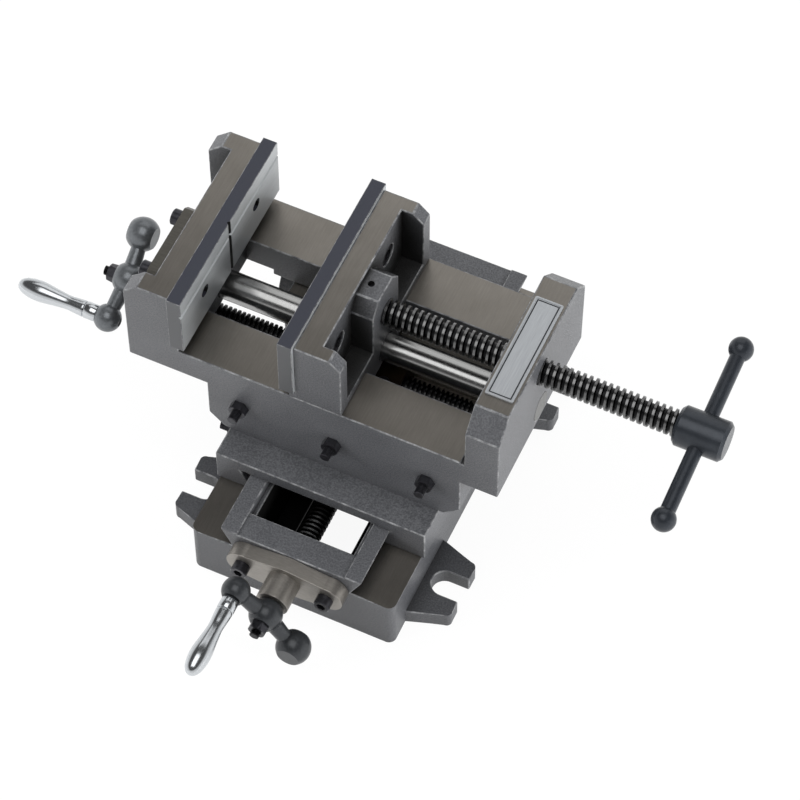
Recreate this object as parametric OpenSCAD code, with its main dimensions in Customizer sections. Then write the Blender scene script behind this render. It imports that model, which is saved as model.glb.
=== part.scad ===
// Cross slide vise: a screw vise on two dovetail slides, each driven by a lead screw and a ball crank.
// Millimetres, +Z up, +X towards the tommy bar, -Y towards the front crank.
// The origin is the centre of the underside of the base. Both slides stand at mid travel.

/* [Base] */
// Width of the base, left to right
base_w = 130; // [124:1:160]
// Length of the base, front to back
base_l = 236; // [216:1:280]
// Height of the base up to its machined top
base_h = 40.5; // [36:0.5:50]
// Width of the trough between the rails
trough_w = 62; // [46:1:66]
// Width of the slot through the bottom of the trough
floor_slot_w = 36; // [20:1:44]
// Thickness of the bottom of the trough
floor_t = 6; // [5:1:18]
// Width between the inner faces of the dovetail rails
rail_gap = 68; // [64:1:72]
// Depth to which the rails stand clear before the trough narrows
rail_step = 6; // [3:0.5:9]
// Thickness of the front and rear bars across the rails
bar_w = 17; // [12:1:24]
// How far the bars lie below the top of the rails
bar_drop = 1.2; // [0.5:0.1:3]
// Radius of the upright corners of the base
base_corner_r = 5; // [2:0.5:10]

/* [Lugs] */
// How far a lug reaches out from the side of the base
lug_reach = 25; // [20:1:32]
// Width of a lug where it meets the base
lug_root_w = 54; // [46:1:60]
// Width of a lug at its tip
lug_tip_w = 39; // [34:1:44]
// Thickness of a lug
lug_t = 12; // [8:1:16]
// Distance of each lug from the middle of the base
lug_y = 74; // [60:1:80]
// Width of the open bolt slot in a lug
lug_slot_w = 16; // [10:1:18]
// Depth of the bolt slot from the tip of the lug
lug_slot_l = 20; // [14:1:20]

/* [Slides] */
// Angle of the dovetail flanks from the horizontal
dovetail_angle = 65; // [60:1:72]
// Width over the top of the base dovetail
cross_dovetail_w = 90; // [88:1:94]
// Height of the base dovetail
cross_dovetail_h = 15.5; // [13:0.5:18]
// Width over the top of the saddle dovetail
slide_dovetail_w = 84; // [78:1:88]
// Height of the saddle dovetail
slide_dovetail_h = 35; // [30:0.5:36]
// Thickness of the gib strips, measured level
gib_t = 6; // [5:0.5:7]
// Distance of the gib ends behind the faces of their castings
gib_inset = 3; // [0:0.5:6]
// Running clearance of a dovetail flank, measured level
flank_play = 0.1; // [0.05:0.05:0.3]
// Clearance over the top of a dovetail
top_play = 0.5; // [0.3:0.1:1]

/* [Saddle] */
// Width of the saddle, left to right
saddle_w = 134; // [124:1:160]
// Length of the saddle, front to back
saddle_l = 158; // [150:1:164]
// Height of the saddle from the base to its ledge
saddle_h = 25; // [23:0.5:32]
// Width of the channel for the side lead screw
channel_w = 30; // [30:1:34]
// Floor of the channel above the ledge
channel_floor = 5; // [3:0.5:6]

/* [Vise body] */
// Width of the vise body, front to back
body_w = 120; // [114:1:130]
// Height of the vise body from the saddle ledge to the bed
body_h = 61.5; // [60:0.5:68]
// Thickness of the overhanging ends under the bed
overhang_t = 21.5; // [20.5:0.5:24]
// Length of the bed from the fixed jaw face to the end block
bed_l = 174; // [160:1:200]
// Distance of the fixed jaw face to the left of the base centre
jaw_face_x = 92; // [85:1:96]
// Length of the lower block that holds the dovetail
block_l = 160; // [140:1:170]
// Chamfer on the lower corners of the lower block
block_chamfer = 9.5; // [4:0.5:14]
// Width of the slot along the bed
slot_w = 54; // [50:1:58]
// Thickness of the fixed jaw casting behind its plate
jaw_back_t = 14; // [12:1:18]
// How far the ears of the fixed jaw stand out behind it
fixed_ear_l = 15; // [12:1:20]
// Thickness of the ears of the fixed jaw
ear_t = 12; // [9:1:15]
// Chamfer on the top corner of the fixed jaw's ears
ear_chamfer = 9; // [4:0.5:12]
// Height of the jaw castings above the bed
jaw_h = 51; // [46:1:60]
// Thickness of the end block
end_t = 21; // [18:1:28]
// Height of the end block above the bed
end_h = 45.5; // [44:0.5:52]
// Level width of the facets on the end block's top corners
end_facet_w = 12.5; // [6:0.5:16]
// Height of the facets on the end block's top corners
end_facet_h = 14; // [6:0.5:18]

/* [Jaw plates] */
// Length of the jaw plates
plate_w = 125; // [118:1:140]
// Thickness of the jaw plates
plate_t = 9; // [7:0.5:12]
// Gap from the bed to the underside of the jaw plates
plate_lift = 7; // [4:0.5:9]
// How far the jaw plates stand above the castings
plate_proud = 2.5; // [1:0.5:5]
// Opening between the jaw plates as they stand
jaw_open = 60; // [20:1:70]
// Distance of the plate screws from the middle
plate_screw_y = 33; // [28:1:38]
// Height of the plate screws above the bed
plate_screw_z = 29.5; // [26:0.5:36]
// Width of the V grooves in the fixed jaw plate
vee_w = 3; // [2:0.5:7]
// Depth of the horizontal V groove below the plate's top
vee_drop = 12.5; // [8:0.5:14]

/* [Moving jaw] */
// Thickness of the moving jaw wall behind its plate
moving_wall_t = 15; // [13:1:18]
// How far the ears and the boss stand out behind that wall
moving_ear_l = 14; // [12:1:18]
// Thickness of the ears of the moving jaw
moving_ear_t = 9; // [7:1:13]
// Chamfer on the top corner of the moving jaw's ears
moving_ear_chamfer = 7; // [3:0.5:10]
// Width of the boss for the vise screw
boss_w = 34; // [30:1:36]
// Width of the boss top between its chamfers
boss_top_w = 19; // [14:1:24]
// Height of the boss above the bed
boss_h = 47.5; // [44:0.5:50]
// Height of the sloping shoulders of the boss
boss_slope_h = 9; // [6:0.5:12]
// Thickness of the foot between the ears
foot_t = 5; // [3:0.5:8]
// Depth of the tongue below the bed
tongue_h = 21.2; // [20:0.1:22]

/* [Vise screw] */
// Diameter of the vise screw
vise_screw_d = 16; // [14:0.5:18]
// Lead of the vise screw thread
vise_screw_pitch = 4; // [3:0.5:6]
// Height of the vise screw above the bed
vise_screw_z = 25.5; // [22:0.5:28]
// Bare length of screw between the end block and the head
screw_reach = 82; // [76:1:110]
// Step from the thread of the vise screw down to its spigots
spigot_step = 2.5; // [2:0.25:3]
// Diameter of the screw head
head_d = 24; // [20:0.5:28]
// Length of the screw head
head_l = 30; // [24:1:36]
// Diameter of the tommy bar
tommy_d = 9; // [7:0.5:11]
// Distance between the balls of the tommy bar
tommy_l = 111; // [90:1:140]
// Diameter of the tommy bar balls
tommy_ball_d = 14.5; // [12:0.5:18]
// Tilt of the tommy bar as it stands
tommy_tilt = 10; // [0:1:90]

/* [Guide rod] */
// Diameter of the guide rod
rod_d = 18; // [15:0.5:19]
// Depth of the guide rod's axis below the bed
rod_drop = 10.5; // [10:0.1:11]
// Depth to which the rod enters the fixed jaw
rod_grip = 15; // [8:1:18]

/* [Lead screws] */
// Diameter of the lead screws
lead_d = 14; // [12:0.5:15]
// Lead of the lead screw threads
lead_pitch = 3; // [2:0.5:5]
// Diameter of the journals in the brackets
journal_d = 10; // [8:0.5:11]
// Running clearance of a journal or nut, on the radius
journal_play = 0.05; // [0.02:0.01:0.1]
// Height of the front lead screw above the underside of the base
front_axis_z = 41; // [39:0.5:44]
// Height of the side lead screw above the saddle ledge
side_axis_h = 15; // [14:0.5:18]
// Length of the lead screw nuts
nut_l = 34; // [26:1:44]
// Height of the nut blocks above and below the screw axis
nut_wall = 9.5; // [9:0.5:10]

/* [Brackets] */
// Thickness of the bearing brackets
bracket_t = 9.5; // [7:0.5:12]
// Radius of the middle of the front bracket
flange_r = 13.5; // [12.5:0.5:18]
// Radius of the ends of the front bracket
flange_end_r = 10.5; // [8:0.5:12]
// Distance of the front bracket screws from the axis
flange_screw_x = 26.5; // [25:0.5:30]
// Diameter of the bearing bosses
boss_d = 20; // [17:0.5:24]
// Length of the front bearing boss
front_boss_l = 16; // [10:1:20]
// Length of the side bearing boss
side_boss_l = 21; // [16:1:26]
// Depth of the seat for the side bracket between the ears
side_seat = 5; // [3:0.5:8]
// Distance of the side bracket screws from the middle
side_screw_y = 20; // [17:0.5:24]
// Height of the side bracket screws above the bed
side_screw_z = 6; // [4:0.5:8]
// Radius of the upper corners of the side bracket
side_corner_r = 7.5; // [7:0.5:9]

/* [Ball cranks] */
// Diameter of the hub ball
hub_d = 20; // [18:0.5:24]
// Width of the hub between its flats
hub_w = 15; // [13:0.5:16]
// Diameter of the handle ball
small_ball_d = 17; // [14:0.5:19]
// Diameter of the counterweight ball
big_ball_d = 21; // [18:0.5:23]
// Width of the counterweight ball between its flats
big_ball_w = 16; // [15:0.5:19]
// Distance of the handle ball from the shaft
small_arm = 26; // [24:0.5:30]
// Distance of the counterweight ball from the shaft
big_arm = 28; // [25:0.5:29]
// How far the handle ball stands out in front of the hub
small_out = 3; // [0:0.5:5]
// How far the counterweight ball stands out in front of the hub
big_out = 2; // [0:0.5:5]
// Diameter of the arms at the hub
arm_hub_d = 11; // [8:0.5:13]
// Diameter of the arms at the balls
arm_ball_d = 8; // [6:0.5:10]
// Angle of the front crank as it stands
front_crank_angle = 130; // [0:1:359]
// Angle of the side crank as it stands
side_crank_angle = 242; // [0:1:359]
// Length of the revolving handle
handle_l = 53; // [40:1:60]
// Largest diameter of the revolving handle
handle_d = 13.5; // [11:0.5:16]
// Diameter of the handle at its collar
handle_collar_d = 11; // [8:0.5:12]
// Diameter of the handle spindle
spindle_d = 5; // [4:0.5:6]

/* [Fasteners] */
// Thread diameter of the small screws
small_screw_d = 6; // [5:0.5:6.5]
// Head diameter of the small cap screws
small_head_d = 10; // [9:0.5:11]
// Head height of the small cap screws
small_head_h = 6; // [5:0.5:8]
// Thread diameter of the jaw plate screws
plate_screw_d = 8; // [6:0.5:8.5]
// Head diameter of the jaw plate screws
plate_head_d = 13; // [11:0.5:14]
// Head height of the jaw plate screws
plate_head_h = 8; // [6:0.5:9]
// Depth to which the heads of the jaw plate screws are sunk below the back of the jaws
plate_head_sink = 0.5; // [0:0.5:1]
// Play round the sunk heads
head_play = 0.3; // [0.2:0.1:0.6]
// Width across the flats of the small hex nuts
nut_flats = 10; // [9:0.5:11]
// Height of the small hex nuts
nut_h = 5; // [4:0.5:6]
// Length of gib screw that stands out of its lock nut
gib_screw_out = 6; // [3:0.5:9]
// Spacing of the gib screws along the vise body
slide_gib_pitch = 59; // [45:1:60]
// Spacing of the gib screws along the saddle
cross_gib_pitch = 50; // [40:1:60]
// Clearance of a screw in its hole, on the radius
hole_play = 0.1; // [0.05:0.05:0.3]

/* [Nameplate] */
// Length of the nameplate
name_l = 71; // [50:1:74]
// Width of the nameplate
name_w = 17; // [12:0.5:17.5]
// Thickness of the nameplate
name_t = 1; // [0.8:0.1:1.5]
// Distance of the nameplate in front of the middle
name_shift = 3; // [0:0.5:8]

/* [Hidden] */
$fn = 64;

// Cutting tools reach this far past the faces that they cut
cut = 1;
// Levels, from the floor up
rail_top = base_h + cross_dovetail_h;
ledge_z = base_h + saddle_h;
tail_top = ledge_z + slide_dovetail_h;
bed_z = ledge_z + body_h;
side_axis_z = ledge_z + side_axis_h;
screw_axis_z = bed_z + vise_screw_z;
rod_z = bed_z - rod_drop;
plate_top_z = bed_z + jaw_h + plate_proud;
plate_h = jaw_h + plate_proud - plate_lift;
overhang_z = bed_z - overhang_t;
// Places along the vise body
face_x = -jaw_face_x;
seat_x = face_x - plate_t;
jaw_back_x = seat_x - jaw_back_t;
body_x0 = jaw_back_x - fixed_ear_l;
end_x0 = face_x + bed_l;
body_x1 = end_x0 + end_t;
block_x0 = -block_l / 2;
block_x1 = block_l / 2;
bracket_seat_x = body_x0 + side_seat;
moving_x = face_x + jaw_open;
moving_seat_x = moving_x + plate_t;
moving_back_x = moving_seat_x + moving_wall_t;
moving_x1 = moving_back_x + moving_ear_l;
head_x0 = body_x1 + screw_reach;
head_mid_x = head_x0 + head_l / 2;
// Widths of the dovetails at their roots, and the level shift of a flank
cross_lean = cross_dovetail_h / tan(dovetail_angle);
slide_lean = slide_dovetail_h / tan(dovetail_angle);
// Height of the gib screws in the saddle and in the vise body
cross_gib_z = base_h + cross_dovetail_h / 2;
slide_gib_z = ledge_z + slide_dovetail_h * 0.82;
// Depth of the seats for the sunk heads of the jaw plate screws
head_seat = plate_head_h + plate_head_sink;
// Half height of the front flange where it meets the round ends
flange_side = flange_end_r * 0.96;
// Level room for a gib with its play on both sides
gib_room = gib_t + 2 * flank_play;
// Screw ends: journals, spigots and the groove that the retaining pin holds
spigot_d = vise_screw_d - 2 * spigot_step;
groove_d = spigot_d - 4;
pin_d = 4;
pin_play = 0.15;
pin_x = moving_back_x + moving_ear_l * 0.35;
screw_tip_x = moving_back_x - 4;
head_spigot_l = 6;
// Crank shaft: hub, nut and the stud end outside it
stud_d = 6;
stud_out = 3;
face_play = 0.1;
front_hub_y = bracket_t + front_boss_l + face_play + hub_w / 2;
side_hub_x = bracket_t + side_boss_l + face_play + hub_w / 2;
handle_gap = 0.4;
screw_depth = 12;
rear_journal_l = 12;
side_lead_l = block_x1 - 5 - bracket_seat_x;
nut_block_w = channel_w - 2;
nut_screw_d = 5;
nut_screw_head_d = 8.5;
nut_screw_head_h = 5;
nut_screw_grip = 6;
nut_screw_y = nut_block_w / 2 - nut_screw_d / 2 - 1;
ceiling_z = rail_top + top_play;
chamfer_edge = 1;
grip_bore_l = handle_l * 0.75;
// The handle turns on a flat that is milled on the handle ball
handle_seat = small_out + sqrt(pow(small_ball_d / 2, 2) - pow(handle_collar_d / 2 + 0.5, 2));
// A ledge carries each jaw plate, and the slot in the bed starts at the fixed one
plate_ledge = 4;
slot_x0 = seat_x + plate_ledge;
seat_top = bed_z + side_screw_z + side_corner_r + 1.5;
side_rise = bed_z + side_screw_z - side_axis_z;
corner_groove = 2;
press_play = 0.02;
side_play = 0.1;
// A gib screw ends clear of the leaning flank of its gib
cross_gib_tip = cross_dovetail_w / 2 + gib_t + 2 * flank_play
  - (rail_top - cross_gib_z - small_screw_d / 2) / tan(dovetail_angle);
slide_gib_tip = slide_dovetail_w / 2 + gib_t + 2 * flank_play
  - (tail_top - slide_gib_z - small_screw_d / 2) / tan(dovetail_angle);

// A rectangle with round corners, centred
module round_rect(w, l, r) {
  square([w - 2 * r, l], center = true);
  square([w, l - 2 * r], center = true);
  for (x = [-1, 1], y = [-1, 1])
    translate([x * (w / 2 - r), y * (l / 2 - r)]) circle(r);
}

// The section of a dovetail with its root at the origin, wider by play on each side
module dovetail(w, h, left = 0, right = 0, top = 0) {
  lean = h / tan(dovetail_angle);
  extra = top / tan(dovetail_angle);
  polygon([[-w / 2 + lean - left, 0], [w / 2 - lean + right, 0],
           [w / 2 + right + extra, h + top], [-w / 2 - left - extra, h + top]]);
}

// The section of a gib strip on the left flank of a dovetail
module gib_section(w, h) {
  lean = (h - top_play) / tan(dovetail_angle);
  inner = -w / 2 - flank_play;
  polygon([[inner + lean, top_play], [inner, h], [inner - gib_t, h], [inner + lean - gib_t, top_play]]);
}

// Extrude a section drawn in X and Z along Y
module along_y(l) {
  translate([0, l / 2, 0]) rotate([90, 0, 0]) linear_extrude(l) children();
}

// Extrude a section drawn in Y and Z along X, from x0 to x1
module along_x(x0, x1) {
  translate([x0, 0, 0]) rotate([90, 0, 90]) linear_extrude(x1 - x0) children();
}

// Turn a shape that stands on +Z so that it points to the front, to the left or to the right
module to_front() { rotate([90, 0, 0]) children(); }
module to_left() { rotate([0, -90, 0]) children(); }
module to_right() { rotate([0, 90, 0]) children(); }

// A socket cap screw: the head stands on the seat at z = 0, the shank goes down
module cap_screw(d, head, head_h, l) {
  difference() {
    union() {
      cylinder(d = head, h = head_h - chamfer_edge / 2);
      translate([0, 0, head_h - chamfer_edge / 2])
        cylinder(d1 = head, d2 = head - chamfer_edge, h = chamfer_edge / 2);
      translate([0, 0, -l]) cylinder(d = d, h = l);
    }
    translate([0, 0, head_h / 2]) cylinder(d = head * 0.58, h = head_h, $fn = 6);
  }
}

// The hole for a jaw plate screw with a sunk head, from the back of a wall at z = 0
module sunk_hole(wall) {
  translate([0, 0, -cut]) cylinder(d = plate_screw_d + 2 * hole_play, h = wall + 2 * cut);
  translate([0, 0, -cut]) cylinder(d = plate_head_d + 2 * head_play, h = head_seat + cut);
}

// A hex nut on the seat at z = 0, with a plain hole
module hex_nut(flats, h, hole) {
  difference() {
    intersection() {
      cylinder(d = flats / cos(30), h = h, $fn = 6);
      cylinder(d1 = flats / cos(30), d2 = flats * 1.04, h = h);
    }
    translate([0, 0, -cut]) cylinder(d = hole, h = h + 2 * cut);
  }
}

// One lug with its open bolt slot, reaching out along +X from the side of the base
module lug() {
  r = 3.5;
  linear_extrude(lug_t) difference() {
    union() {
      polygon([[-base_corner_r, -lug_root_w / 2], [0, -lug_root_w / 2],
               [lug_reach - r, -lug_tip_w / 2], [lug_reach - r, lug_tip_w / 2],
               [0, lug_root_w / 2], [-base_corner_r, lug_root_w / 2]]);
      for (s = [-1, 1]) translate([lug_reach - r, s * (lug_tip_w / 2 - r)]) circle(r);
      translate([lug_reach - r - cut, r - lug_tip_w / 2]) square([r + cut, lug_tip_w - 2 * r]);
    }
    translate([lug_reach - lug_slot_l + lug_slot_w / 2, 0]) circle(d = lug_slot_w);
    translate([lug_reach - lug_slot_l + lug_slot_w / 2, -lug_slot_w / 2])
      square([lug_slot_l + cut, lug_slot_w]);
  }
}

// Base casting: box with two dovetail rails, a trough open to below, lugs and bearing bores
module base() color("dimgray") difference() {
  union() {
    linear_extrude(base_h) round_rect(base_w, base_l, base_corner_r);
    translate([0, 0, base_h]) along_y(base_l) dovetail(cross_dovetail_w, cross_dovetail_h);
    for (s = [0, 180], y = [-1, 1])
      rotate([0, 0, s]) translate([base_w / 2, y * lug_y, 0]) lug();
  }
  translate([-trough_w / 2, -base_l / 2 + bar_w, floor_t])
    cube([trough_w, base_l - 2 * bar_w, rail_top]);
  translate([-floor_slot_w / 2, -base_l / 2 + bar_w, -cut])
    cube([floor_slot_w, base_l - 2 * bar_w, rail_top]);
  translate([-rail_gap / 2, -base_l / 2 + bar_w, rail_top - rail_step])
    cube([rail_gap, base_l - 2 * bar_w, rail_step + cut]);
  translate([-rail_gap / 2, -base_l / 2 - cut, rail_top - bar_drop])
    cube([rail_gap, base_l + 2 * cut, bar_drop + cut]);
  translate([0, -base_l / 2 - cut, front_axis_z]) rotate([-90, 0, 0])
    cylinder(d = lead_d + 2, h = bar_w + 2 * cut);
  translate([0, base_l / 2 - bar_w - cut, front_axis_z]) rotate([-90, 0, 0])
    cylinder(d = journal_d + 2 * journal_play, h = bar_w + 2 * cut);
  for (s = [-1, 1])
    translate([s * flange_screw_x, -base_l / 2 - cut, front_axis_z]) rotate([-90, 0, 0])
      cylinder(d = small_screw_d + 2 * hole_play, h = screw_depth + 2 * cut);
}

// Front bearing bracket: oval flange with a turned boss, standing on the front face of the base
module front_bracket() color("darkgray")
  translate([0, -base_l / 2, front_axis_z]) to_front() difference() {
    union() {
      linear_extrude(bracket_t) polygon([
        [-flange_screw_x, -flange_side], [0, -flange_r], [flange_screw_x, -flange_side],
        [flange_screw_x, flange_side], [0, flange_r], [-flange_screw_x, flange_side]]);
      for (s = [-1, 1]) translate([s * flange_screw_x, 0, 0])
        cylinder(r = flange_end_r, h = bracket_t);
      cylinder(d = boss_d, h = bracket_t + front_boss_l);
    }
    translate([0, 0, -cut])
      cylinder(d = journal_d + 2 * journal_play, h = bracket_t + front_boss_l + 2 * cut);
    for (s = [-1, 1]) translate([s * flange_screw_x, 0, -cut])
      cylinder(d = small_screw_d + 2 * hole_play, h = bracket_t + 2 * cut);
  }

module front_bracket_screws() color("black")
  for (s = [-1, 1]) translate([s * flange_screw_x, -base_l / 2 - bracket_t, front_axis_z]) to_front()
    cap_screw(small_screw_d, small_head_d, small_head_h, bracket_t + screw_depth);

// A lead screw along +Z: the journal passes the bracket seat at z = 0 and ends in a stud past the hub
module lead_screw(inner_l, hub_end, tail_l = 0) {
  translate([0, 0, -inner_l]) cylinder(d = lead_d, h = inner_l - face_play);
  translate([0, 0, -2 * face_play]) cylinder(d = journal_d, h = hub_end + 2 * face_play);
  translate([0, 0, hub_end]) cylinder(d = stud_d, h = nut_h + stud_out);
  if (tail_l > 0) translate([0, 0, -inner_l - tail_l]) cylinder(d = journal_d, h = tail_l + cut);
}

module front_lead_screw() color("black")
  translate([0, -base_l / 2, front_axis_z]) to_front()
    lead_screw(base_l - bar_w - face_play, front_hub_y + hub_w / 2, rear_journal_l);

// A ball crank about the shaft axis Z, with the handle ball on +X and both hub flats level
module ball_crank() difference() {
  union() {
    intersection() {
      sphere(d = hub_d);
      cube([2 * hub_d, 2 * hub_d, hub_w], center = true);
    }
    rotate([0, 90 - atan(small_out / small_arm), 0])
      cylinder(d1 = arm_hub_d, d2 = arm_ball_d, h = small_arm);
    rotate([0, atan(big_out / big_arm) - 90, 0])
      cylinder(d1 = arm_hub_d, d2 = arm_ball_d, h = big_arm);
    translate([small_arm, 0, small_out]) sphere(d = small_ball_d);
    translate([-big_arm, 0, big_out]) intersection() {
      sphere(d = big_ball_d);
      cube([2 * big_ball_d, 2 * big_ball_d, big_ball_w], center = true);
    }
  }
  translate([0, 0, -hub_d]) cylinder(d = journal_d + 2 * hole_play, h = 2 * hub_d);
  translate([small_arm, 0, -small_ball_d]) cylinder(d = spindle_d + 2 * hole_play, h = 3 * small_ball_d);
  translate([small_arm, 0, handle_seat]) cylinder(d = small_ball_d, h = small_ball_d);
}

// The fixed spindle of a revolving handle, held in the handle ball
module spindle() {
  bottom = small_out - small_ball_d / 2 + 1;
  translate([small_arm, 0, bottom])
    cylinder(d = spindle_d, h = handle_seat + handle_gap + grip_bore_l - bottom - handle_gap);
}

// Radius of the revolving handle at the fraction t of its length: collar, waist, belly and tip
function handle_r(t) = t < 0.2 ? handle_collar_d / 2
  : t < 0.62 ? handle_collar_d / 2 + (handle_d - handle_collar_d) / 2 * (1 - cos(180 * (t - 0.2) / 0.42)) / 2
  : handle_d / 2 * sqrt(max(0, 1 - pow((t - 0.62) / 0.38, 2.4)));

module revolving_handle() difference() {
  steps = 20;
  translate([small_arm, 0, handle_seat + handle_gap]) rotate_extrude()
    polygon([[0, 0], for (i = [0:steps]) [handle_r(i / steps), handle_l * i / steps]]);
  translate([small_arm, 0, handle_seat + handle_gap - cut])
    cylinder(d = spindle_d + 2 * hole_play, h = grip_bore_l + cut);
}

// Places of the two cranks: their hubs stand on the outer ends of the bearing bosses
module at_front_crank() translate([0, -base_l / 2 - front_hub_y, front_axis_z]) to_front()
  rotate([0, 0, front_crank_angle]) children();
module at_side_crank() translate([bracket_seat_x - side_hub_x, 0, side_axis_z]) to_left()
  rotate([0, 0, side_crank_angle]) children();

module front_crank() color("dimgray") at_front_crank() ball_crank();
module front_crank_nut() color("black") at_front_crank() translate([0, 0, hub_w / 2])
  hex_nut(nut_flats, nut_h, stud_d + 2 * hole_play);
module front_spindle() color("gray") at_front_crank() spindle();
module front_handle() color("white") at_front_crank() revolving_handle();

// Saddle casting: dovetail way below along Y, dovetail above along X with a channel for the side screw
module saddle() color("dimgray") difference() {
  union() {
    translate([-saddle_w / 2, -saddle_l / 2, base_h]) cube([saddle_w, saddle_l, saddle_h]);
    translate([0, 0, ledge_z]) along_x(-saddle_w / 2, saddle_w / 2)
      dovetail(slide_dovetail_w, slide_dovetail_h);
  }
  translate([0, 0, base_h]) along_y(saddle_l + 2 * cut)
    dovetail(cross_dovetail_w, cross_dovetail_h, gib_room, flank_play, top_play);
  translate([-saddle_w / 2 - cut, -channel_w / 2, ledge_z + channel_floor])
    cube([saddle_w + 2 * cut, channel_w, slide_dovetail_h + cut]);
  for (i = [-1:1]) translate([-saddle_w / 2 - cut, i * cross_gib_pitch, cross_gib_z]) to_right()
    cylinder(d = small_screw_d + 2 * hole_play, h = saddle_w / 2);
  for (x = [-1, 1], y = [-1, 1]) {
    translate([x * nut_screw_y, y * nut_l / 4, ceiling_z - cut])
      cylinder(d = nut_screw_d + 2 * hole_play, h = nut_screw_grip + 2 * cut);
    translate([x * nut_l / 4, y * nut_screw_y, ledge_z + channel_floor - nut_screw_grip - hole_play])
      cylinder(d = nut_screw_d + 2 * hole_play, h = nut_screw_grip + cut);
  }
}

module cross_gib() color("gray")
  translate([0, 0, base_h]) along_y(saddle_l - 2 * gib_inset) gib_section(cross_dovetail_w, cross_dovetail_h);

module cross_gib_screws() color("black") for (i = [-1:1])
  translate([-cross_gib_tip, i * cross_gib_pitch, cross_gib_z]) to_left()
    cylinder(d = small_screw_d, h = saddle_w / 2 - cross_gib_tip + nut_h + gib_screw_out);

module cross_gib_nuts() color("black") for (i = [-1:1])
  translate([-saddle_w / 2, i * cross_gib_pitch, cross_gib_z]) to_left()
    hex_nut(nut_flats, nut_h, small_screw_d + 2 * hole_play);

// The nut of the front lead screw hangs under the saddle, inside the trough of the base
module front_nut() color("gray") difference() {
  translate([-nut_block_w / 2, -nut_l / 2, front_axis_z - nut_wall])
    cube([nut_block_w, nut_l, ceiling_z - front_axis_z + nut_wall]);
  translate([0, 0, front_axis_z]) along_y(nut_l + 2 * cut) circle(d = lead_d + 2 * journal_play);
  for (x = [-1, 1], y = [-1, 1]) translate([x * nut_screw_y, y * nut_l / 4, 0])
    cylinder(d = nut_screw_d + 2 * hole_play, h = ceiling_z + cut);
}

module front_nut_screws() color("black") for (x = [-1, 1], y = [-1, 1])
  translate([x * nut_screw_y, y * nut_l / 4, front_axis_z - nut_wall]) mirror([0, 0, 1])
    cap_screw(nut_screw_d, nut_screw_head_d, nut_screw_head_h,
              ceiling_z - front_axis_z + nut_wall + nut_screw_grip);

// The nut of the side lead screw stands in the channel of the saddle
module side_nut() color("gray") difference() {
  translate([-nut_l / 2, -nut_block_w / 2, ledge_z + channel_floor])
    cube([nut_l, nut_block_w, side_axis_h - channel_floor + nut_wall]);
  translate([0, 0, side_axis_z]) along_x(-nut_l / 2 - cut, nut_l / 2 + cut)
    circle(d = lead_d + 2 * journal_play);
  for (x = [-1, 1], y = [-1, 1]) translate([x * nut_l / 4, y * nut_screw_y, ledge_z])
    cylinder(d = nut_screw_d + 2 * hole_play, h = slide_dovetail_h);
}

module side_nut_screws() color("black") for (x = [-1, 1], y = [-1, 1])
  translate([x * nut_l / 4, y * nut_screw_y, side_axis_z + nut_wall])
    cap_screw(nut_screw_d, nut_screw_head_d, nut_screw_head_h,
              side_axis_h - channel_floor + nut_wall + nut_screw_grip);

// Vise body casting: slotted bed, fixed jaw with two ears, end block and the dovetail way below
module vise_body() color("dimgray") difference() {
  union() {
    along_y(body_w) polygon([
      [body_x0, overhang_z], [block_x0, overhang_z], [block_x0, ledge_z + block_chamfer],
      [block_x0 + block_chamfer, ledge_z], [block_x1 - block_chamfer, ledge_z],
      [block_x1, ledge_z + block_chamfer], [block_x1, overhang_z], [end_x0 + cut, overhang_z],
      [end_x0 + cut, bed_z], [slot_x0, bed_z], [slot_x0, bed_z + plate_lift],
      [seat_x, bed_z + plate_lift], [seat_x, bed_z + jaw_h], [body_x0 + ear_chamfer, bed_z + jaw_h],
      [body_x0, bed_z + jaw_h - ear_chamfer]]);
    along_x(end_x0, body_x1) polygon([
      [-body_w / 2, overhang_z], [body_w / 2, overhang_z], [body_w / 2, bed_z + end_h - end_facet_h],
      [body_w / 2 - end_facet_w, bed_z + end_h], [-body_w / 2 + end_facet_w, bed_z + end_h],
      [-body_w / 2, bed_z + end_h - end_facet_h]]);
  }
  translate([slot_x0, -slot_w / 2, tail_top - cut])
    cube([end_x0 - slot_x0, slot_w, bed_z - tail_top + plate_lift]);
  translate([end_x0 - corner_groove, -body_w / 2 - cut, bed_z - corner_groove / 2])
    cube([corner_groove, body_w + 2 * cut, corner_groove]);
  translate([0, 0, ledge_z]) along_x(block_x0 - cut, block_x1 + cut)
    dovetail(slide_dovetail_w, slide_dovetail_h, gib_room, flank_play, top_play);
  translate([body_x0 - cut, -body_w / 2 + ear_t, seat_top])
    cube([fixed_ear_l + cut, body_w - 2 * ear_t, jaw_h]);
  translate([body_x0 - cut, -body_w / 2 + ear_t, overhang_z - cut])
    cube([side_seat + cut, body_w - 2 * ear_t, seat_top - overhang_z + 2 * cut]);
  translate([slot_x0 - rod_grip, 0, rod_z]) to_right()
    cylinder(d = rod_d + 2 * press_play, h = body_x1 - slot_x0 + rod_grip + cut);
  translate([end_x0 - cut, 0, screw_axis_z]) to_right()
    cylinder(d = vise_screw_d + 2 * journal_play, h = end_t + 2 * cut);
  for (i = [-1:1]) translate([i * slide_gib_pitch, -body_w / 2 - cut, slide_gib_z]) rotate([-90, 0, 0])
    cylinder(d = small_screw_d + 2 * hole_play, h = body_w / 2 - slide_dovetail_w / 2 + cut);
  for (s = [-1, 1]) {
    translate([jaw_back_x, s * plate_screw_y, bed_z + plate_screw_z]) to_right()
      sunk_hole(jaw_back_t);
    translate([bracket_seat_x - cut, s * side_screw_y, bed_z + side_screw_z]) to_right()
      cylinder(d = small_screw_d + 2 * hole_play, h = screw_depth + 2 * cut);
  }
}

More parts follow.
